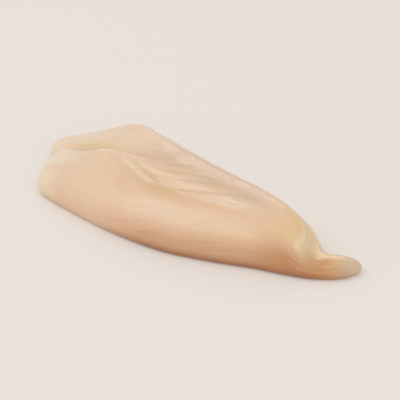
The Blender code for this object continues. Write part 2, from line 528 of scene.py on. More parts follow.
class NodeSheet:
    """Short forms for building a node tree."""

    def __init__(self, tree):
        self.tree = tree
        self.count = 0

    def add(self, kind, inputs=None, **options):
        """A node of one kind, with its options set, and its inputs set or linked by name."""
        node = self.tree.nodes.new(kind)
        row, column = divmod(self.count, NODES_IN_A_ROW)
        node.location = (column * NODE_SPACING[0], -row * NODE_SPACING[1])
        self.count += 1
        for option, value in options.items():
            setattr(node, option, value)
        for key, value in (inputs or {}).items():
            socket = node.inputs[key]
            if isinstance(value, bpy.types.NodeSocket):
                self.tree.links.new(value, socket)
            else:
                socket.default_value = (*value, 1.0) if socket.type == "RGBA" else value
        return node

    def math(self, operation, first, second=0.0):
        return self.add("ShaderNodeMath", {0: first, 1: second}, operation=operation).outputs[0]

    def times(self, first, second):
        return self.math("MULTIPLY", first, second)

    def plus(self, first, second):
        return self.math("ADD", first, second)

    def vector(self, x, y, z):
        """A vector put together from three numbers or sockets."""
        return self.add("ShaderNodeCombineXYZ", {0: x, 1: y, 2: z}).outputs[0]

    def noise(self, vector, scale=1.0, detail=2.0, roughness=0.5):
        inputs = {"Vector": vector, "Scale": scale, "Detail": detail, "Roughness": roughness}
        return self.add("ShaderNodeTexNoise", inputs, noise_dimensions="3D").outputs[0]

    def cells(self, vector, feature):
        """Irregular cells: the distance to their edges, or a random value for each."""
        node = self.add("ShaderNodeTexVoronoi", {"Vector": vector, "Scale": 1.0}, feature=feature)
        return node.outputs["Distance" if feature == "DISTANCE_TO_EDGE" else "Color"]

    def ramp(self, value, low, high, to_low=0.0, to_high=1.0):
        """A smooth rise from one value to another as the input goes from low to high."""
        inputs = {"Value": value, "From Min": low, "From Max": high}
        inputs.update({"To Min": to_low, "To Max": to_high})
        return self.add("ShaderNodeMapRange", inputs, interpolation_type="SMOOTHSTEP").outputs[0]

    def spread(self, noise, low=0.0, high=1.0):
        """A noise, stretched so that it runs from one value to another."""
        return self.ramp(noise, *NOISE_RANGE, low, high)


class ShaderSheet(NodeSheet):
    """The same for a material."""

    def value(self, name):
        """A number that the mesh carries for each point."""
        node = self.add("ShaderNodeAttribute", attribute_name=name, attribute_type="GEOMETRY")
        return node.outputs["Fac"]

    def along_fibres(self, across, pattern):
        """A place in a pattern drawn out along the fibres."""
        count_along, count_across, layer = pattern
        along = self.times(self.value("fibre_along"), count_along)
        return self.vector(along, self.times(across, count_across), layer)

    def blend(self, share, first, second, kind="MIX"):
        """One colour turning into another."""
        inputs = {MIX_FACTOR: share, MIX_FIRST: first, MIX_SECOND: second}
        node = self.add("ShaderNodeMix", inputs, data_type="RGBA", blend_type=kind)
        return node.outputs[MIX_RESULT]

    def lay_on(self, colour, settings, layers, mottle=None):
        """Lays zones over a colour in turn, broken up by mottle where a ramp is given."""
        for zone, broken in layers.items():
            share = self.value(f"{zone}_share")
            if broken:
                share = self.times(share, self.ramp(mottle, *broken))
            colour = self.blend(share, colour, getattr(settings, f"{zone}_colour"))
        return colour

    def shaded(self, colour, lines):
        """A colour made lighter and darker by a number close to 1."""
        return self.blend(1.0, colour, self.vector(lines, lines, lines), "MULTIPLY")

    def bumps(self, layers):
        """Bumps laid over one another, each given as strength, depth in millimetres and height."""
        inputs = {}
        for strength, depth, height in layers:
            inputs.update({"Strength": strength, "Distance": depth * MM, "Height": height})
            inputs["Normal"] = self.add("ShaderNodeBump", inputs).outputs[0]
        return inputs["Normal"]


def start_tree(name, labels):
    """A new geometry node tree's sheet, and its inputs: a geometry, labelled ones, a material."""
    kinds = {"Geometry": "Geometry", "Material": "Material", "Seed": "Int", "Sides": "Int"}
    tree = bpy.data.node_groups.new(name, "GeometryNodeTree")
    for label in ("Geometry", *labels, "Material"):
        kind = f"NodeSocket{kinds.get(label, 'Float')}"
        tree.interface.new_socket(label, in_out="INPUT", socket_type=kind)
    tree.interface.new_socket("Geometry", in_out="OUTPUT", socket_type="NodeSocketGeometry")
    sheet = NodeSheet(tree)
    return sheet, sheet.add("NodeGroupInput").outputs


def end_tree(sheet, geometry, material):
    """The last nodes of every tree: realized instances, one material, and the way out."""
    realized = sheet.add("GeometryNodeRealizeInstances", {"Geometry": geometry})
    inputs = {"Geometry": realized.outputs[0], "Material": material}
    painted = sheet.add("GeometryNodeSetMaterial", inputs)
    sheet.add("NodeGroupOutput", {"Geometry": painted.outputs[0]})
    return sheet.tree


FIBRE_INPUTS = (
    "Bundle Depth", "Bundle Width", "Fibre Depth", "Fibre Width", "Fibre Length", "Wave Depth",
    "Wave Length", "Seed",
)

# How far the slow waves push the fibre lines, and how much longer a bundle runs than a fibre
WAVE_PUSH = 3.0 * MM
BUNDLE_STRETCH = 1.6

# How far apart in the noise two seeds lie, and fibres and bundles, and how detailed it is
SEED_STEP = 7.31
FIBRE_LAYER = 3.7
SOFT_DETAIL = 1.0
FIBRE_DETAIL = 1.5

THREAD_END_RADIUS = 0.15


def fibre_tree():
    """Presses muscle bundles, fine fibres and slow waves into a surface, never above it."""
    sheet, given = start_tree("muscle_fibres", FIBRE_INPUTS)
    along, across, mask = (
        sheet.add("GeometryNodeInputNamedAttribute", {"Name": name}).outputs["Attribute"]
        for name in ("fibre_along", "fibre_across", "relief_share"))
    seed = sheet.times(given["Seed"], SEED_STEP)

    def drawn_out(length, line, width, layer, detail):
        """Noise with a length along the fibres and a width across them."""
        place = (sheet.math("DIVIDE", along, length), sheet.math("DIVIDE", line, width), layer)
        return sheet.noise(sheet.vector(*place), detail=detail)

    # Slow waves bend the fibre lines a little, so that no two run quite parallel
    wave_length = given["Wave Length"]
    wave = drawn_out(wave_length, across, wave_length, seed, SOFT_DETAIL)
    bent = sheet.plus(across, sheet.times(wave, WAVE_PUSH))
    bundle_length = sheet.times(given["Fibre Length"], BUNDLE_STRETCH)
    bundle = drawn_out(bundle_length, bent, given["Bundle Width"], seed, SOFT_DETAIL)
    layer = sheet.plus(seed, FIBRE_LAYER)
    fibre = drawn_out(given["Fibre Length"], bent, given["Fibre Width"], layer, FIBRE_DETAIL)

    depth = sheet.times(wave, given["Wave Depth"])
    depth = sheet.plus(depth, sheet.times(bundle, given["Bundle Depth"]))
    depth = sheet.plus(depth, sheet.times(fibre, given["Fibre Depth"]))
    depth = sheet.times(sheet.times(depth, mask), -1.0)
    normal = sheet.add("GeometryNodeInputNormal").outputs[0]
    offset = sheet.add("ShaderNodeVectorMath", {0: normal, "Scale": depth}, operation="SCALE")
    inputs = {"Geometry": given["Geometry"], "Offset": offset.outputs[0]}
    pressed = sheet.add("GeometryNodeSetPosition", inputs).outputs[0]
    return end_tree(sheet, pressed, given["Material"])


def thread_tree():
    """Turns curves into thin threads that taper to both ends."""
    sheet, given = start_tree("membrane_threads", ("Thread Radius", "Sides"))
    place = sheet.add("GeometryNodeSplineParameter").outputs["Factor"]
    bulge = sheet.times(sheet.math("SINE", sheet.times(place, pi)), 1 - THREAD_END_RADIUS)
    radius = sheet.times(sheet.plus(bulge, THREAD_END_RADIUS), given["Thread Radius"])
    inputs = {"Resolution": given["Sides"], "Radius": 1.0}
    profile = sheet.add("GeometryNodeCurvePrimitiveCircle", inputs)
    inputs = {"Curve": given["Geometry"], "Profile Curve": profile.outputs["Curve"]}
    inputs.update({"Scale": radius, "Fill Caps": True})
    solid = sheet.add("GeometryNodeCurveToMesh", inputs)
    smooth = sheet.add("GeometryNodeSetShadeSmooth", {"Geometry": solid.outputs[0]})
    return end_tree(sheet, smooth.outputs[0], given["Material"])


# Materials

# Noises over the meat, each as scale, detail and roughness
CLOUDS = (22.0, 2.0, 0.5)
MOTTLE = (55.0, 3.0, 0.55)
SWAY = (60.0, 2.0, 0.5)
GRAIN = (260.0, 3.0, 0.6)
FILM = (380.0, 2.0, 0.5)
FINE_NOISE = (1.0, 2.0, 0.6)
STRAND_NOISE = (1.0, 3.0, 0.6)

# Patterns drawn out along the fibres: how many to a metre along and across, and the layer of noise
BUNDLES = (34.0, 560.0, 0.0)
FINE_FIBRES = (120.0, 2300.0, 4.0)
STRANDS = (60.0, 1500.0, 2.0)

# How far the noise named sway pushes the bundles in the colour
SWAY_WIDTH = 1.4 * MM

# Colour zones in the order in which they are laid on: painted shade along the crest and in the trough,
# painted shade down the low wall, yellow, the thin end with painted highlights on the swelling and the
# lip, and blush. One that mottle breaks up comes with the range of mottle, and the share of the zone
# that is left at each end of that range
MEAT_LAYERS = {
    "crest_shade": (0.2, 0.6, 0.6, 1.0),
    "trough_shade": None,
    "wall_shade": (0.2, 0.7, 0.7, 1.0),
    "yellow": (0.2, 0.6, 0.5, 1.0),
    "thin_and_highlight": None,
    "blush": (0.35, 0.6),
}
# The tail's and the tip's colours, the amber with its painted shade, and the painted highlight on the
# skin's rims
END_LAYERS = dict.fromkeys(("tail", "tip", "amber_shade", "rim"))
# Painted shade, laid on last: in the crease and at the foot of the low wall
LOW_LAYERS = dict.fromkeys(("crease", "foot"))

# Where clouds turn the meat pinker, how wide and strong the membrane between two bundles shows, how
# much lighter or darker bundles, fibres and strands are, and how grain breaks up the fat
PINK_TURN = (0.35, 0.68)
MEMBRANE_WIDTH = 0.11
MEMBRANE_STRENGTH = (0.05, 0.36)
BUNDLE_TONES = (-0.028, 0.02)
FIBRE_TONES = (-0.015, 0.015)
STRAND_TONES = (0.965, 1.03)
FAT_GRAIN = (-0.35, 0.25)
FAT_EDGE = (0.15, 0.95)
ROUGHNESS_SPREAD = 0.06
SKIN_ROUGHNESS = (0.30, 0.42)
FLOOR_ROUGHNESS = 0.9
FLOOR_SPECULAR = 0.1

# Bumps, each as strength and depth in millimetres
FINE_BUMP = (0.5, 0.05)
BUNDLE_BUMP = (0.6, 0.10)
FILM_BUMP = (0.35, 0.07)
STRAND_BUMP = (0.6, 0.08)
BUNDLE_EDGE = 0.25

LOOK_INPUTS = (
    "IOR", "Subsurface Weight", "Subsurface Radius", "Subsurface Scale", "Coat Weight",
    "Coat Roughness", "Coat IOR",
)
MEAT_LOOK = (1.38, 0.45, (1.0, 0.45, 0.28), 4.0 * MM, 0.7, 0.15, 1.34)
SKIN_LOOK = (1.40, 0.35, (1.0, 0.7, 0.5), 2.0 * MM, 0.35, 0.2, 1.33)


def new_material(name):
    material = bpy.data.materials.new(name)
    material.use_nodes = True
    material.node_tree.nodes.clear()
    return material, ShaderSheet(material.node_tree)


def end_material(sheet, inputs):
    """The shader and the way out of every material."""
    shader = sheet.add("ShaderNodeBsdfPrincipled", inputs)
    sheet.add("ShaderNodeOutputMaterial", {"Surface": shader.outputs[0]})


def end_moist(sheet, colour, roughness, bumps, look):
    """The same for a moist finish, with its bumps and with what stays the same all over it."""
    inputs = {"Base Color": colour, "Roughness": roughness, "Normal": sheet.bumps(bumps)}
    end_material(sheet, {**inputs, **dict(zip(LOOK_INPUTS, look))})


def end_colours(sheet, colour, mottle, trim):
    """Lays the tendon skin's and the tail's colours over another colour, by the mesh's shares, with
    the amber and its painted shade low down and the painted highlight on the skin's rims.
    """
    skin = sheet.blend(sheet.spread(mottle), trim.skin_colour, trim.skin_shade_colour)
    colour = sheet.blend(sheet.value("skin_share"), colour, skin)
    return sheet.lay_on(colour, trim, END_LAYERS)


def fibre_pattern(sheet, place):
    """How far into its bundle a point lies, a tone for each bundle, and the fine fibres."""
    sway = sheet.times(sheet.noise(place, *SWAY), SWAY_WIDTH)
    bent = sheet.plus(sheet.value("fibre_across"), sway)
    bundle_place = sheet.along_fibres(bent, BUNDLES)
    edges = sheet.cells(bundle_place, "DISTANCE_TO_EDGE")
    tones = sheet.cells(bundle_place, "F1")
    tone = sheet.add("ShaderNodeSeparateColor", {0: tones}).outputs[0]
    fine_place = sheet.along_fibres(bent, FINE_FIBRES)
    return edges, tone, sheet.noise(fine_place, *FINE_NOISE)


def meat_material(settings, trim):
    """Pale raw muscle: beige-pink, with fine fibres and a moist film. Painted shade darkens it along
    the crest, in the trough and the crease, and makes it warmer and darker down the low wall and at
    its foot; amber with painted shade lies low on the narrow end, and painted highlights lighten the
    swelling, the lip and the tendon skin's rims.
    """
    material, sheet = new_material("raw_tenderloin_meat")
    place = sheet.add("ShaderNodeTexCoord").outputs["Object"]
    mottle = sheet.noise(place, *MOTTLE)
    grain = sheet.noise(place, *GRAIN)
    edges, tone, fine = fibre_pattern(sheet, place)

    pink = sheet.ramp(sheet.noise(place, *CLOUDS), *PINK_TURN)
    colour = sheet.blend(pink, settings.meat_colour, settings.pink_colour)
    colour = sheet.lay_on(colour, settings, MEAT_LAYERS, mottle)
    strength = sheet.value("fibre_share")
    membrane = sheet.ramp(edges, 0.0, MEMBRANE_WIDTH, 1.0, 0.0)
    membrane = sheet.times(membrane, sheet.spread(mottle, *MEMBRANE_STRENGTH))
    membrane = sheet.times(membrane, strength)
    colour = sheet.blend(membrane, colour, settings.membrane_colour)
    tone = sheet.times(sheet.ramp(tone, 0.0, 1.0, *BUNDLE_TONES), strength)
    tone = sheet.plus(sheet.plus(tone, 1.0), sheet.spread(fine, *FIBRE_TONES))
    colour = sheet.shaded(colour, tone)
    fat = sheet.plus(sheet.value("fat_share"), sheet.spread(grain, *FAT_GRAIN))
    fat = sheet.ramp(fat, *FAT_EDGE)
    colour = sheet.blend(fat, colour, settings.fat_colour)
    colour = end_colours(sheet, colour, mottle, trim)
    colour = sheet.lay_on(colour, settings, LOW_LAYERS)

    smoothest, roughest = (settings.roughness + side * ROUGHNESS_SPREAD for side in (-1, 1))
    roughness = sheet.spread(mottle, smoothest, roughest)
    film = sheet.plus(sheet.noise(place, *FILM), sheet.times(fat, grain))
    bundle = sheet.ramp(edges, 0.0, BUNDLE_EDGE)
    bumps = (*FINE_BUMP, fine), (*BUNDLE_BUMP, bundle), (*FILM_BUMP, film)
    end_moist(sheet, colour, roughness, bumps, MEAT_LOOK)
    return material


def tendon_material(settings):
    """Tendon skin: pale cream, silky, with long fine strands, a painted highlight on its rims and
    amber with painted shade low down.
    """
    material, sheet = new_material("tendon_skin")
    strand_place = sheet.along_fibres(sheet.value("fibre_across"), STRANDS)
    strand = sheet.noise(strand_place, *STRAND_NOISE)
    mottle = sheet.noise(sheet.add("ShaderNodeTexCoord").outputs["Object"], *MOTTLE)
    colour = end_colours(sheet, settings.skin_colour, mottle, settings)
    colour = sheet.shaded(colour, sheet.spread(strand, *STRAND_TONES))
    roughness = sheet.spread(mottle, *SKIN_ROUGHNESS)
    end_moist(sheet, colour, roughness, [(*STRAND_BUMP, strand)], SKIN_LOOK)
    return material


def floor_material(settings):
    """A plain pale floor, dead matt, with a faint glow that keeps its shadows soft."""
    material, sheet = new_material("pale_floor")
    colour = settings.floor_colour
    inputs = {"Base Color": colour, "Emission Color": colour, "Roughness": FLOOR_ROUGHNESS}
    inputs.update({"Emission Strength": settings.floor_glow, "Specular IOR Level": FLOOR_SPECULAR})
    end_material(sheet, inputs)
    return material


# Settings

def colour_setting(label, text, red, green, blue):
    return FloatVectorProperty(
        name=label, description=text, subtype="COLOR", size=3, min=0.0, max=1.0,
        default=linear(red, green, blue))


def number_setting(label, text, default, **options):
    options = {"min": 0.0, **options}
    return FloatProperty(name=label, description=text, default=default, **options)


def length_setting(label, text, millimetres):
    return number_setting(label, text, millimetres * MM, subtype="DISTANCE", unit="LENGTH")


class TenderloinMeatSettings(bpy.types.PropertyGroup):
    """Sizes and colours of the meat."""

    bundle_depth: length_setting("Bundle depth", "How deep the muscle bundles are pressed in", 0.26)
    bundle_width: length_setting("Bundle width", "Width of one muscle bundle", 4.2)
    fibre_depth: length_setting("Fibre depth", "How deep the single fibres are pressed in", 0.07)
    fibre_width: length_setting("Fibre width", "Width of one fibre", 1.15)
    fibre_length: length_setting("Fibre length", "How far a fibre runs before it changes", 17.0)
    wave_depth: length_setting("Wave depth", "Depth of the slow unevenness", 0.8)
    wave_length: length_setting("Wave length", "Length of the slow unevenness", 21.0)
    seed: IntProperty(name="Seed", description="Picks another set of fibres", default=5, min=0)
    roughness: number_setting(
        "Roughness", "Roughness of the moist meat", 0.42, max=1.0, subtype="FACTOR")
    meat_colour: colour_setting("Meat", "Main colour of the meat", 235, 204, 172)
    pink_colour: colour_setting("Pink meat", "Colour of its pinker patches", 232, 196, 167)
    # Painted shade along the crest, darker than the meat
    crest_shade_colour: colour_setting("Pale band", "Colour of the pale band along the crest", 212, 179, 146)
    # Painted shade in the trough beside the swelling
    trough_shade_colour: colour_setting("Trough", "Colour of the trough beside the swelling", 219, 178, 133)
    # Painted shade down the low side, warmer and darker than the meat
    wall_shade_colour: colour_setting("Low wall", "Colour down the low side", 220, 176, 139)
    yellow_colour: colour_setting("Yellow end", "Colour before the tendon skin", 228, 194, 138)
    # Colour of the thin broad end, also a painted highlight on the swelling and along the lip
    thin_and_highlight_colour: colour_setting("Thin end", "Colour of the thin broad end", 241, 224, 197)
    blush_colour: colour_setting("Blush", "Colour of the faint pink marks", 233, 188, 168)
    membrane_colour: colour_setting("Membrane", "Colour between the fibre bundles", 238, 213, 187)
    # Painted shade inside the crease under the lip
    crease_colour: colour_setting("Crease", "Colour inside the crease", 206, 155, 117)
    # Painted shade low down on the wall, next to the floor
    foot_colour: colour_setting("Foot", "Colour low down, next to what the meat lies on", 166, 110, 72)
    fat_colour: colour_setting("Fat", "Colour of the thin fat on the flap", 232, 198, 147)


class TenderloinTrimSettings(bpy.types.PropertyGroup):
    """Sizes and colours of the tendon skin, the tail and the threads."""

    skin_thickness: length_setting("Skin thickness", "Thickness of the tendon skin", 0.12)
    thread_radius: length_setting("Thread radius", "Radius of the membrane threads", 0.13)
    seed: IntProperty(name="Seed", description="Picks another set of threads", default=3, min=0)
    skin_colour: colour_setting("Tendon skin", "Colour of the tendon skin", 234, 209, 174)
    skin_shade_colour: colour_setting("Tendon skin shade", "Its darker patches", 230, 202, 164)
    # Painted highlight along the tendon skin's raised rims
    rim_colour: colour_setting("Rim", "Colour of the skin's raised rims", 244, 214, 174)
    # Amber colour with painted shade, low on the narrow end and tail
    amber_shade_colour: colour_setting("Amber", "Colour low on the narrow end and tail", 202, 148, 98)
    tail_colour: colour_setting("Tail", "Colour of the tail", 224, 180, 117)
    tip_colour: colour_setting("Tip", "Colour of the tail's thin tip", 215, 194, 170)


class TenderloinStageSettings(bpy.types.PropertyGroup):
    """The floor, the light and the camera."""

    floor_colour: colour_setting("Floor", "Colour of the floor", 220, 213, 207)
    floor_glow: number_setting("Floor glow", "Strength of the floor's own faint light", 0.18)
    light_power: number_setting(
        "Light", "Power of all the soft lights together", 7.7, subtype="POWER", unit="POWER")
    sky_strength: number_setting("Sky", "Strength of the even light all round", 0.66)
    lens: number_setting(
        "Lens", "Focal length of the camera, in millimetres", 183.0, min=1.0,
        subtype="DISTANCE_CAMERA")


# Colour zones

@dataclass(frozen=True)
class Zone:
    """Where a colour shows, along the piece and across it.

    Each way it is a hill, given as (centre, width), or a span, given as (rise, fall) with None for
    what it does without. Along starts at the broad end, or at the skin line, and across at the near
    edge, the crest or the lap, whichever line is named. least is the part of it that is left all
    along the piece.
    """

    colour: str
    along: tuple
    across: tuple = (None, None)
    line: str = "edge"
    strength: float = 1.0
    least: float = 0.0


# The stretch between the two ends where the painted shade down the low wall and at its foot is darkest
MIDDLE_PART = ((34.0, 72.0), (128.0, 138.0))

MEAT_ZONES = (
    # Painted shade along the crest
    Zone("crest_shade", ((34.0, 58.0), (98.0, 116.0)), (-0.04, 0.22), "crest"),
    # Painted shade in the trough
    Zone("trough_shade", (65.0, 26.0), (0.34, 0.15), strength=0.9),
    # Painted shade down the low wall, darkest in the middle
    Zone("wall_shade", MIDDLE_PART, (None, (0.01, 0.11)), least=0.15),
    # Painted shade down the far side
    Zone("wall_shade", (None, None), ((0.90, 0.99), None), strength=0.6),
    Zone("yellow", (-5.0, 6.5), ((0.1, 0.35), None), "skin", 0.75),
    Zone("yellow", (17.0, 7.5), ((0.0, 0.05), (0.12, 0.24)), "lap", 0.4125),
    Zone("yellow", (96.0, 16.0), (0.12, 0.08), strength=0.375),
    Zone("blush", (46.0, 4.5), (0.60, 0.05)),
    Zone("blush", (9.0, 5.0), (0.22, 0.06), strength=0.5),
    # Painted highlight along the swelling on the low side
    Zone("thin_and_highlight", ((44.0, 66.0), (100.0, 114.0)), (0.15, 0.07), strength=0.35),
    # Painted highlight along the lip
    Zone("thin_and_highlight", (None, STEP_FADE), (-0.022, 0.018), "lap", 0.45),
    Zone("thin_and_highlight", (10.0, 14.0), ((0.08, 0.16), None), "lap", 0.5),
    # Painted shade in the crease under the lip
    Zone("crease", (None, STEP_FADE), (0.018, 0.016), "lap", 0.7),
    Zone("fat", (14.5, 9.0), (0.105, 0.075), "lap"),
)
END_ZONES = (
    Zone("tail", ((126.0, 133.0), None)),
    Zone("tip", ((LENGTH - 8.0, LENGTH + 2.0), None)),
    # Painted highlight on the tendon skin's inner rim
    Zone("rim", (0.5, 1.1), ((0.19, 0.26), (0.50, 0.78)), "skin", 0.88),
    # Amber colour with painted shade, low on the near side of the narrow end and the tail
    Zone("amber_shade", ((104.0, 124.0), None), (None, (0.05, 0.32)), strength=0.95),
    Zone("amber_shade", ((123.0, 129.0), (132.0, 139.0)), (None, (0.30, 0.62)), strength=0.855),
)

# How softly the tendon skin starts, more so on the far side, and how softly its near edge ends
SKIN_BLUR = (1.5, 5.5)
SKIN_FAR_SIDE = (0.75, 1.0)
SKIN_NEAR_BLUR = (-0.04, 0.05)

# The outer rim's painted highlight: its strength, and how much of it and of the amber's painted shade
# is lost towards the tip
OUTER_RIM_HIGHLIGHT_STRENGTH = 0.64
RIM_HIGHLIGHT_TIP_LOSS = 0.6
AMBER_SHADE_TIP_LOSS = 0.7

# How much of the yellow is lost towards the far side
YELLOW_FAR_SIDE = (0.78, 0.98)
YELLOW_LOSS = 0.7

# The thin broad end, and the waves of its boundary, each as height, count and start
THIN_END = (-1.0, 16.0)
THIN_END_STRENGTH = 0.92
THIN_END_WAVES = ((2.5, 11.0, 0.0), (1.2, 29.0, 1.0))

# How strongly the low wall's painted shade shows underneath
UNDERSIDE_SHADE_STRENGTH = 0.55

# Painted shade at the foot of the low wall, next to the floor: layers, each as strength and the
# heights over which it fades, and the shares of them that show at the ends and in the middle
FOOT_SHADE_LAYERS = ((0.63, (0.8, 4.0)), (0.31, (2.0, 12.0)))
FOOT_SHADE_TOP = (0.06, 0.16)
FOOT_SHADE_STRENGTH = (0.25, 0.95)

# Where the fibres show most, along and across from the crest, and how much they show elsewhere
FIBRES_ALONG = (70.0, 30.0)
FIBRES_ACROSS = (-0.15, 0.3)
FIBRES_ELSEWHERE = 0.45


def profile(value, shape):
    """How far up its hill, or within its span, a value is."""
    hill = isinstance(shape[0], float)
    return bell(value, *shape) if hill else span(value, *shape)


def zone_shares(zones, along, share):
    """How much of each colour shows: at each point, what the strongest of its zones gives."""
    places = {
        "edge": (along, share),
        "crest": (along, share - crest_at(along)),
        "lap": (along, share - lap_at(along)),
        "skin": (along - skin_line(share), share),
    }
    shares = {}
    for zone in zones:
        run, across = places[zone.line]
        shown = zone.strength * between(zone.least, 1.0, profile(run, zone.along))
        shown = shown * profile(across, zone.across)
        shares[zone.colour] = np.maximum(shares.get(zone.colour, 0.0), shown)
    return shares


def end_shares(along, share):
    """How much of the tendon skin's, the tail's and the tip's colours shows, of the painted highlight
    on the skin's rims, and of the amber with its painted shade.
    """
    shares = zone_shares(END_ZONES, along, share)
    blur = between(*SKIN_BLUR, smooth_step(*SKIN_FAR_SIDE, share))
    near_side = smooth_step(*SKIN_NEAR_BLUR, share - skin_near_share(along))
    shares["skin"] = smooth_step(-blur, blur, along - skin_line(share)) * near_side
    # Painted highlight along the outer rim
    outer = OUTER_RIM_HIGHLIGHT_STRENGTH * outer_rim(along, share) * (1 - RIM_HIGHLIGHT_TIP_LOSS * shares["tip"])
    shares["rim"] = np.maximum(shares["rim"], outer)
    shares["amber_shade"] = shares["amber_shade"] * (1 - AMBER_SHADE_TIP_LOSS * shares["tip"])
    return shares


def colour_shares(along, share, over, height):
    """How much of each colour shows at each point.

    over is 1 on the upper side, and falls to 0 underneath as a point lies further in. height is
    how far above the ground the point lies.
    """
    shares = {**zone_shares(MEAT_ZONES, along, share), **end_shares(along, share)}
    shares["yellow"] = shares["yellow"] * (1 - YELLOW_LOSS * smooth_step(*YELLOW_FAR_SIDE, share))
    uneven = sum(rise * np.sin(share * count + start) for rise, count, start in THIN_END_WAVES)
    thin_end = THIN_END_STRENGTH * span(along + uneven, fall=THIN_END)
    shares["thin_and_highlight"] = np.maximum(shares["thin_and_highlight"], thin_end)
    shares = {name: shown * over for name, shown in shares.items()}
    # Painted shade of the low wall, underneath
    shares["wall_shade"] = shares["wall_shade"] + UNDERSIDE_SHADE_STRENGTH * (1 - over)

    # Painted shade at the foot of the wall, darkest next to the floor
    foot = sum(strength * span(height, fall=fade) for strength, fade in FOOT_SHADE_LAYERS)
    foot = foot * span(share, fall=FOOT_SHADE_TOP)
    shares["foot"] = foot * between(*FOOT_SHADE_STRENGTH, span(along, *MIDDLE_PART))
    fibres = bell(along, *FIBRES_ALONG) * bell(share - crest_at(along), *FIBRES_ACROSS)
    shares["fibre"] = between(FIBRES_ELSEWHERE, 1.0, fibres)
    return shares


# Pieces

# How far in from the sides and the ends the relief has its full depth, and how much of it is left
# at the sides, at the ends and underneath
RELIEF_SIDES = 0.06
RELIEF_ENDS = 6.0
RELIEF_LEFT = (0.25, 0.2, 0.3)

# How far in under the edge the upper side's colours reach
UNDERSIDE_FADE = 4.0

# The tendon skin: its points along and across, how closely they crowd to its edges, how far it
# starts before its line, stops before the tip and reaches over its near edge, and the shares it
# lies between
SHELL_POINTS = (96, 72)
SHELL_CROWDING = 0.6
SHELL_START = 0.4
SHELL_STOP = 0.8
SHELL_MARGIN = 0.03
SHELL_SHARES = (0.015, 0.985)

# Over what its ends and sides rise to full thickness, how deep its hidden edges and its underside
# lie, and how wide its strands take it to be
SHELL_END_RISE = 3.0
SHELL_SIDE_RISE = 0.16
SHELL_SINK = 0.2
SHELL_DEPTH = 0.9
SHELL_WIDTH = 14.0

# Its raised strands: their height, where they start, their radians across and along, and the size
# and frequency of the wave in them
STRAND_RISE = 0.03
STRAND_START = (2.0, 8.0)
STRAND_TURNS = (40.0, 0.08)
STRAND_WAVE = (1.2, 0.3)

# Threads along the lap, each from one (distance along, share across) to another with its bow, and
# how many others there are, whose start along and across, run and bow are drawn
LAP_THREADS = (((9.0, 0.460), (30.0, 0.440), -0.006), ((24.0, 0.425), (46.0, 0.510), 0.004))
LOOSE_THREADS = 16
THREAD_DRAWS = ((40.0, 96.0), (0.22, 0.62), (7.0, 18.0), (-0.01, 0.01))

# How many radii deep a thread lies: in its middle, and how much deeper at its ends
THREAD_SINK = (0.55, 0.6)
THREAD_POINTS = 22
THREAD_SIDES = 7


def fibre_places(along, share, over):
    """Where each point of the upper surface lies along and across the fibres, in metres."""
    steps = np.linalg.norm(np.diff(over, axis=1), axis=2)
    reach = np.concatenate([np.zeros((len(along), 1)), np.cumsum(steps, axis=1)], axis=1)
    run = along[:, 0]
    middle = np.array([np.interp(*row) for row in zip(crest_at(run), share, reach)])
    spread = np.abs(reach - middle[:, None]) / reach[:, -1:] * MEAN_WIDTH * MM
    slope = FIBRE_SLOPE * span(run, FIBRE_TURN, FIBRE_RETURN)
    drift = np.concatenate([[0.0], np.cumsum(slope[1:] * np.diff(run))]) * MM
    return along * MM, spread + drift[:, None]


def ring_faces(ring_count, ring_size):
    """Quads between neighbouring rings."""
    here = np.arange((ring_count - 1) * ring_size).reshape(-1, ring_size)
    after = np.roll(here, -1, axis=1)
    quads = np.stack([here, here + ring_size, after + ring_size, after], axis=-1)
    return quads.reshape(-1, 4).tolist()


def end_cap(first, top_count, ring_size):
    """Faces that close an end ring: each step of the underside with its steps of the top."""
    faces = []
    under_steps = (top_count - 1) // TOP_STEPS_PER_UNDER_STEP
    for step in range(under_steps):
        start = first + step * TOP_STEPS_PER_UNDER_STEP
        upper = list(range(start, start + TOP_STEPS_PER_UNDER_STEP + 1))
        lower = [first + (ring_size - step - 1) % ring_size, first + (ring_size - step) % ring_size]
        if step == under_steps - 1:
            lower[0] = upper[-1]
        faces.append(tuple(dict.fromkeys(upper + lower)))
    return faces


def make_meat(settings, trim):
    along, share = lap_grid()
    top_count = share.shape[1]
    under_columns = np.arange(0, top_count, TOP_STEPS_PER_UNDER_STEP)[-2:0:-1]

    def on_rings(upper, lower):
        """Joins what both sides have, ring by ring."""
        return np.concatenate([upper, lower[:, under_columns]], axis=1)

    x, y, top, _ = surface(along, share)
    over = to_frame(x, y, top)
    x, y, _, bottom = surface(along, share, folded=False)
    rings = on_rings(over, to_frame(x, y, bottom))
    ring_count, ring_size, _ = rings.shape
    faces = ring_faces(ring_count, ring_size)
    faces += end_cap(0, top_count, ring_size)
    faces += [face[::-1] for face in end_cap((ring_count - 1) * ring_size, top_count, ring_size)]
    material = meat_material(settings, trim)
    piece = add_mesh("tenderloin_meat", rings.reshape(-1, 3), faces, material)

    fibre_along, fibre_across = fibre_places(along, share, over)
    at_sides, at_ends, underneath = RELIEF_LEFT
    relief = between(at_sides, 1.0, within(share, 1.0, RELIEF_SIDES))
    relief = relief * between(at_ends, 1.0, within(along, LENGTH, RELIEF_ENDS))
    values = {
        "fibre_along": on_rings(fibre_along, fibre_along),
        "fibre_across": on_rings(fibre_across, fibre_across),
        "relief_share": on_rings(relief, underneath * relief),
    }
    above = colour_shares(along, share, np.ones_like(share), top)
    reach_under = span(inset(along, share), fall=(0.0, UNDERSIDE_FADE))
    below = colour_shares(along, share, reach_under, bottom)
    values.update({f"{name}_share": on_rings(above[name], below[name]) for name in above})
    add_point_values(piece, values)
    inputs = {label: getattr(settings, label.lower().replace(" ", "_")) for label in FIBRE_INPUTS}
    return bake_nodes(piece, fibre_tree(), {**inputs, "Material": material})


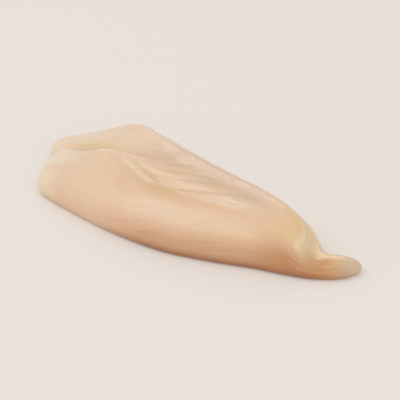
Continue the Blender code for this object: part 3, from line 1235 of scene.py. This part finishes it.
def shell_faces(rows, columns):
    """Faces of a closed shell from an upper grid followed by a lower one."""
    below = rows * columns
    grid = np.arange(below).reshape(rows, columns)
    a, b, c, d = grid[:-1, :-1], grid[1:, :-1], grid[1:, 1:], grid[:-1, 1:]
    upper = np.stack([a, b, c, d], axis=-1)
    lower = np.stack([a, d, c, b], axis=-1) + below
    sheets = np.stack([upper, lower], axis=2).reshape(-1, 4)
    rim = np.concatenate([grid[0, :-1], grid[:-1, -1], grid[-1, :0:-1], grid[:0:-1, 0]])
    after = np.roll(rim, -1)
    walls = np.stack([rim, after, after + below, rim + below], axis=-1)
    return np.concatenate([sheets, walls]).tolist()


def make_tendon_skin(skin, settings):
    """The pale skin that wraps the narrow end and runs out over the tail."""
    crowded = (spread_to_ends(count, SHELL_CROWDING) for count in SHELL_POINTS)
    part_along, part_across = np.meshgrid(*crowded, indexing="ij")
    stop = LENGTH - SHELL_STOP
    near_share = skin_near_share(between(SKIN_START + SKIN_BEND, stop, part_along))
    low, high = SHELL_SHARES
    share = between(np.maximum(near_share - SHELL_MARGIN, low), high, part_across)
    start = skin_line(share) - SHELL_START
    along = between(start, stop, part_along)

    from_start = along - start
    cover = smooth_step(0, SHELL_END_RISE, from_start) * within(part_across, 1.0, SHELL_SIDE_RISE)
    cover = cover * smooth_step(0, SHELL_END_RISE, stop - along)
    wave = STRAND_WAVE[0] * np.sin(STRAND_WAVE[1] * along)
    turns = share * STRAND_TURNS[0] + STRAND_TURNS[1] * along
    strands = STRAND_RISE * np.sin(turns + wave)
    lift = settings.skin_thickness / MM + strands * smooth_step(*STRAND_START, from_start)
    lift = (lift * cover - SHELL_SINK * (1 - cover)) * MM

    sides = np.zeros((2, *along.shape, 3))
    for place in np.ndindex(along.shape):
        point, outward = skin.point(float(along[place]), float(share[place]))
        sides[0][place] = point + outward * lift[place]
        sides[1][place] = point - outward * SHELL_DEPTH * MM
    points = np.clip(sides.reshape(-1, 3), LOW, HIGH)
    faces = shell_faces(*SHELL_POINTS)
    piece = add_mesh("tendon_skin", points, faces, tendon_material(settings))
    values = {"fibre_along": along * MM, "fibre_across": share * SHELL_WIDTH * MM}
    values.update({f"{name}_share": shown for name, shown in end_shares(along, share).items()})
    add_point_values(piece, {name: np.stack([shown, shown]) for name, shown in values.items()})
    return piece


def membrane_threads(seed):
    """The threads along the lap, and others that follow the fibres."""
    random = np.random.default_rng(seed)
    threads = list(LAP_THREADS)
    for _ in range(LOOSE_THREADS):
        along, share, run, bow = (random.uniform(*ends) for ends in THREAD_DRAWS)
        rise = run * FIBRE_SLOPE / MEAN_WIDTH
        threads.append(((along, share), (along + run, share + rise), bow))
    return threads


def make_threads(skin, settings, material):
    curve = bpy.data.curves.new("membrane_threads", "CURVE")
    curve.dimensions = "3D"
    for start, end, bow in membrane_threads(settings.seed):
        spline = curve.splines.new("POLY")
        spline.points.add(THREAD_POINTS - 1)
        for index, curve_point in enumerate(spline.points):
            part = index / (THREAD_POINTS - 1)
            along, share = (between(*ends, part) for ends in zip(start, end))
            point, outward = skin.point(along, share + bow * sin(pi * part))
            sink = THREAD_SINK[0] + THREAD_SINK[1] * abs(2 * part - 1) ** 3
            curve_point.co = (*(point - outward * settings.thread_radius * sink), 1.0)
    inputs = {"Thread Radius": settings.thread_radius, "Sides": THREAD_SIDES, "Material": material}
    return bake_nodes(add_object("membrane_threads", curve), thread_tree(), inputs)


# Stage

CAMERA_PLACE = (0.3780, -0.5404, 0.3246)
CAMERA_AIM = (0.0062, -0.0043, 0.0080)
CAMERA_ROLL = radians(-2.2)
CAMERA_NEAR_CLIP = 0.01
SENSOR_WIDTH = 36.0
SKY_COLOUR = (1.0, 0.99, 0.98, 1.0)

# The floor lies just under the meat, so that the two don't share a plane
FLOOR_HALF_WIDTH = 12.0
FLOOR_LEVEL = -0.00005

# Each soft light: its name, place, width, share of the power, and colour
LIGHTS = (
    ("overhead_light", (-0.20, 0.10, 1.25), 2.0, 0.24, (1.0, 0.99, 0.97)),
    ("left_light", (-0.75, -0.45, 0.85), 0.8, 0.20, (1.0, 0.985, 0.96)),
    ("front_light", (0.30, -0.80, 1.00), 0.6, 0.28, (1.0, 0.99, 0.97)),
    ("right_light", (0.85, -0.55, 0.55), 0.8, 0.16, (1.0, 0.99, 0.97)),
    ("back_light", (-0.45, 0.85, 0.60), 0.5, 0.12, (1.0, 1.0, 1.0)),
)


def aimed(place, aim=(0.0, 0.0, 0.0), roll=0.0):
    """Stands at a place, looks at another, and leans about the line between them."""
    place, aim = Vector(place), Vector(aim)
    turn = (aim - place).to_track_quat("-Z", "Y").to_matrix().to_4x4()
    return Matrix.Translation(place) @ turn @ Matrix.Rotation(roll, 4, "Z")


def add_area_light(name, place, size, power, colour):
    light = bpy.data.lights.new(name, "AREA")
    light.shape = "DISK"
    light.size = size
    light.energy = power
    light.color = colour
    add_object(name, light).matrix_world = aimed(place)


def add_floor(settings):
    """A flat sheet under the meat."""
    corners = np.array([(-1, -1), (1, -1), (1, 1), (-1, 1)]) * FLOOR_HALF_WIDTH
    points = np.insert(corners, 2, FLOOR_LEVEL, axis=1)
    floor = add_mesh("floor", points, [(0, 1, 2, 3)], floor_material(settings))


def add_camera(settings):
    data = bpy.data.cameras.new("camera")
    data.sensor_width = SENSOR_WIDTH
    data.lens = settings.lens
    data.clip_start = CAMERA_NEAR_CLIP
    camera = add_object("camera", data)
    camera.matrix_world = aimed(CAMERA_PLACE, CAMERA_AIM, CAMERA_ROLL)
    bpy.context.scene.camera = camera


def add_sky(settings):
    world = bpy.data.worlds.new("soft_sky")
    world.use_nodes = True
    inputs = world.node_tree.nodes["Background"].inputs
    inputs["Color"].default_value = SKY_COLOUR
    inputs["Strength"].default_value = settings.sky_strength
    bpy.context.scene.world = world


# Operators

class TENDERLOIN_OT_stage(bpy.types.Operator):
    """Adds the floor, the soft light and the camera"""

    bl_idname = "tenderloin.stage"
    bl_label = "Floor, Light and Camera"

    def execute(self, context):
        settings = context.scene.tenderloin_stage
        add_floor(settings)
        add_sky(settings)
        for name, place, size, share, colour in LIGHTS:
            add_area_light(name, place, size, settings.light_power * share, colour)
        add_camera(settings)
        context.scene.view_settings.view_transform = "Standard"
        return {"FINISHED"}


class TENDERLOIN_OT_meat(bpy.types.Operator):
    """Adds the meat: the domed strip with its lap, crest, wrinkles and fibres"""

    bl_idname = "tenderloin.meat"
    bl_label = "Meat"

    def execute(self, context):
        scene = context.scene
        finish_piece(make_meat(scene.tenderloin_meat, scene.tenderloin_trim), replaces=True)
        return {"FINISHED"}


class TENDERLOIN_OT_tendon_skin(bpy.types.Operator):
    """Adds the pale tendon skin over the narrow end"""

    bl_idname = "tenderloin.tendon_skin"
    bl_label = "Tendon Skin"

    def execute(self, context):
        finish_piece(make_tendon_skin(Skin(), context.scene.tenderloin_trim))
        return {"FINISHED"}


class TENDERLOIN_OT_threads(bpy.types.Operator):
    """Adds the fine membrane threads on the meat"""

    bl_idname = "tenderloin.threads"
    bl_label = "Membrane Threads"

    def execute(self, context):
        settings = context.scene.tenderloin_trim
        material = bpy.data.materials.get("tendon_skin") or tendon_material(settings)
        finish_piece(make_threads(Skin(), settings, material))
        return {"FINISHED"}


class TENDERLOIN_PT_panel(bpy.types.Panel):
    """Lists the pieces and their settings"""

    bl_label = "Tenderloin"
    bl_idname = "TENDERLOIN_PT_panel"
    bl_space_type = "VIEW_3D"
    bl_region_type = "UI"
    bl_category = "Tenderloin"

    def draw(self, context):
        for operator in OPERATORS:
            self.layout.operator(operator.bl_idname)
        for name in SETTINGS:
            group = getattr(context.scene, name)
            box = self.layout.box()
            for key in group.__annotations__:
                box.prop(group, key)


OPERATORS = (
    TENDERLOIN_OT_stage,
    TENDERLOIN_OT_meat,
    TENDERLOIN_OT_tendon_skin,
    TENDERLOIN_OT_threads,
)
SETTINGS = {
    "tenderloin_stage": TenderloinStageSettings,
    "tenderloin_meat": TenderloinMeatSettings,
    "tenderloin_trim": TenderloinTrimSettings,
}


def register():
    for item in (*SETTINGS.values(), *OPERATORS, TENDERLOIN_PT_panel):
        bpy.utils.register_class(item)
    for name, group in SETTINGS.items():
        setattr(bpy.types.Scene, name, PointerProperty(type=group))


def unregister():
    for name in SETTINGS:
        delattr(bpy.types.Scene, name)
    for item in (TENDERLOIN_PT_panel, *reversed(OPERATORS), *SETTINGS.values()):
        bpy.utils.unregister_class(item)


def main():
    register()
    bpy.ops.tenderloin.stage()
    bpy.ops.tenderloin.meat()
    bpy.ops.tenderloin.tendon_skin()
    bpy.ops.tenderloin.threads()


if __name__ == "__main__":
    main()
